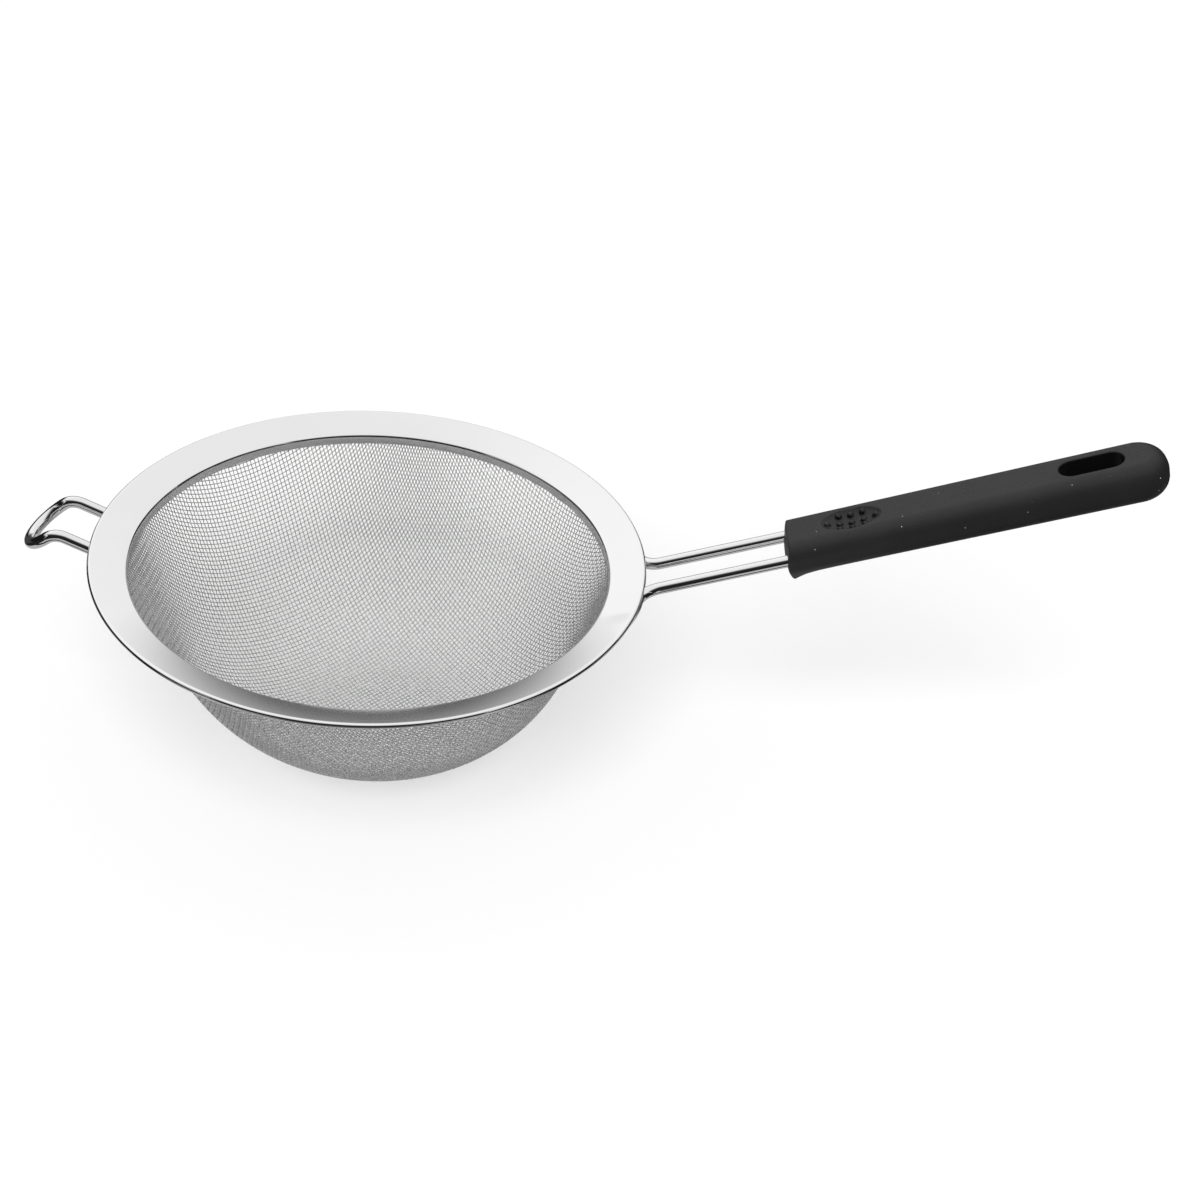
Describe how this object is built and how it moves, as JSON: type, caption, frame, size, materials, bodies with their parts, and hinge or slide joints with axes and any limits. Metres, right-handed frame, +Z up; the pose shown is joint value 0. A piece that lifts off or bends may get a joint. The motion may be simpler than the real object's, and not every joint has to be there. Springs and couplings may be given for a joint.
{
  "type": "hand sieve",
  "caption": "Fine-mesh hand sieve with a wide polished steel rim, a woven wire bowl, a wire rest hook and a black plastic grip with a hanging slot on two parallel wires.",
  "frame": {"origin": "on the rim's axis, in the plane of the flat under the bowl", "axes": "+X from the rim's axis towards the handle, +Z up out of the bowl's mouth, the rim level"},
  "size_m": [0.3709, 0.1844, 0.137],
  "materials": {
    "rim_steel": "polished stainless steel",
    "ring_steel": "plain stainless steel",
    "wire_cloth": "woven stainless steel wire",
    "wire_steel": "polished stainless steel wire",
    "grip_plastic": "matte, lightly textured"
  },
  "bodies": {
    "root": {"rim_flange": "rim_steel", "mesh_clamp_ring": "ring_steel", "mesh_bowl": "wire_cloth", "handle_wire": "wire_steel", "hook_wire": "wire_steel", "handle_grip": "grip_plastic"}
  },
  "joints": []
}
